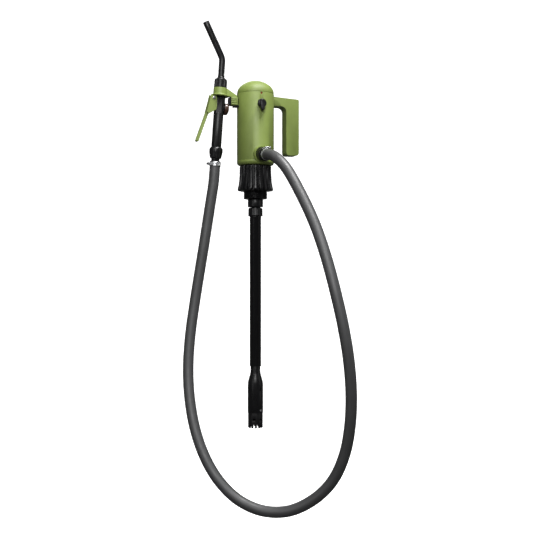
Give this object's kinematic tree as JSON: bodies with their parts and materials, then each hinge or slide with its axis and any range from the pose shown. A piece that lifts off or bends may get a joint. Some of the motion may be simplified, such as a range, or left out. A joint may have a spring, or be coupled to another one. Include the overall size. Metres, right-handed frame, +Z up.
{
  "type": "drum transfer pump",
  "caption": "Battery drum transfer pump: domed housing with side handle, fluted bung adapter, telescoping suction tube, long hose and a lever nozzle hung on its side.",
  "frame": {"origin": "on the pump axis at the bung seat, the lower rim of the fluted bung grip", "axes": "+Z up along the pump axis, the carrying handle on +X, the outlet and the power knob on -Y, the hung nozzle on -X"},
  "size_m": [0.3133, 0.3939, 1.1806],
  "materials": {
    "green_shell": "satin moulded",
    "black_plastic": "satin moulded",
    "black_tube": "extruded",
    "dark_cap": "semi-gloss",
    "hose_rubber": "smooth",
    "seal_rubber": "matte",
    "bright_steel": "brushed",
    "motor_steel": "zinc plated",
    "brass": "plain",
    "nylon": "natural",
    "cell_wrap": "printed sleeve, left blank",
    "lamp_lens": "tinted"
  },
  "bodies": {
    "bung_adapter": {"bung_grip": "black_plastic", "bung_plug": "black_plastic", "bung_gasket": "seal_rubber"},
    "pump": {"housing_shell": "green_shell", "base_cap": "green_shell", "handle": "green_shell", "handle_screws": "bright_steel", "base_screws": "bright_steel", "pump_neck": "black_plastic", "pump_chamber": "black_plastic", "shaft_seal": "seal_rubber", "motor_can": "motor_steel", "motor_end_cap": "black_plastic", "battery_cells": "cell_wrap", "lower_contact": "brass", "switch_body": "black_plastic", "led_lens": "lamp_lens", "hanger_rail": "black_plastic", "inner_tube": "black_tube", "retaining_collar": "black_plastic", "outlet_fitting": "black_plastic", "outlet_cuff": "hose_rubber", "outlet_clamp": "bright_steel", "hose": "hose_rubber"},
    "cover": {"battery_cover": "green_shell", "cover_seal": "seal_rubber", "cover_contacts": "brass"},
    "knob": {"power_knob": "black_plastic"},
    "drive": {"motor_rotor": "motor_steel", "drive_coupling": "black_plastic", "upper_drive_rod": "bright_steel"},
    "sliding_tube": {"outer_tube": "black_tube", "tube_collet": "nylon", "intake_head": "black_plastic", "intake_foot": "black_plastic", "strainer": "black_plastic", "shaft_bearing": "nylon", "head_screws": "bright_steel"},
    "tube_nut": {"lock_nut": "black_plastic"},
    "lower_drive": {"lower_drive_shaft": "bright_steel", "impeller": "nylon"},
    "nozzle": {"hanger_clip": "green_shell", "clip_plate": "black_plastic", "nozzle_body": "black_plastic", "spout": "black_tube", "spout_nut": "black_plastic", "valve_cap": "dark_cap", "valve_seat": "seal_rubber", "valve_spring": "bright_steel", "lever_pin": "bright_steel"},
    "trigger": {"lever": "green_shell"},
    "valve": {"valve_stem": "bright_steel"},
    "swivel": {"swivel_nut": "black_plastic", "hose_tail": "black_plastic", "nozzle_cuff": "hose_rubber", "nozzle_clamp": "bright_steel"}
  },
  "joints": [
    {"name": "adapter_swivel", "type": "hinge", "parent": "bung_adapter", "child": "pump", "pos_m": [0, 0, 0.02], "axis": [0, 0, 1], "continuous": true},
    {"name": "cover_lift", "type": "slide", "parent": "pump", "child": "cover", "axis": [0, 0, 1], "range_m": [0, 0.08]},
    {"name": "power_turn", "type": "hinge", "parent": "pump", "child": "knob", "pos_m": [0, -0.05, 0.2115], "axis": [0, -1, 0], "range_deg": [-90, 0]},
    {"name": "motor_spin", "type": "hinge", "parent": "pump", "child": "drive", "pos_m": [0, 0, 0.14], "axis": [0, 0, 1], "continuous": true},
    {"name": "tube_extend", "type": "slide", "parent": "pump", "child": "sliding_tube", "axis": [0, 0, -1], "range_m": [0, 0.3]},
    {"name": "nut_turn", "type": "hinge", "parent": "sliding_tube", "child": "tube_nut", "pos_m": [0, 0, -0.055], "axis": [0, 0, 1], "range_deg": [0, 90]},
    {"name": "lower_spin", "type": "hinge", "parent": "sliding_tube", "child": "lower_drive", "pos_m": [0, 0, -0.5], "axis": [0, 0, 1], "continuous": true},
    {"name": "nozzle_lift", "type": "slide", "parent": "pump", "child": "nozzle", "axis": [0, 0, 1], "range_m": [0, 0.035]},
    {"name": "lever_squeeze", "type": "hinge", "parent": "nozzle", "child": "trigger", "pos_m": [-0.1102, 0, 0.2255], "axis": [0, -1, 0], "range_deg": [0, 15], "stiffness_Nm_per_rad": 1.2, "springref_deg": -11.46},
    {"name": "valve_slide", "type": "slide", "parent": "nozzle", "child": "valve", "axis": [0.9974, 0, -0.0715], "range_m": [0, 0.0063], "deforming": ["valve_spring"]},
    {"name": "hose_swivel", "type": "hinge", "parent": "nozzle", "child": "swivel", "pos_m": [-0.10312, 0, 0.09138], "axis": [0.0715, 0, 0.9974], "continuous": true}
  ],
  "couplings": [
    {"joint": "lower_spin", "follows": "motor_spin", "ratio": 1},
    {"joint": "valve_slide", "follows": "lever_squeeze", "m_per_rad": 0.0235}
  ]
}
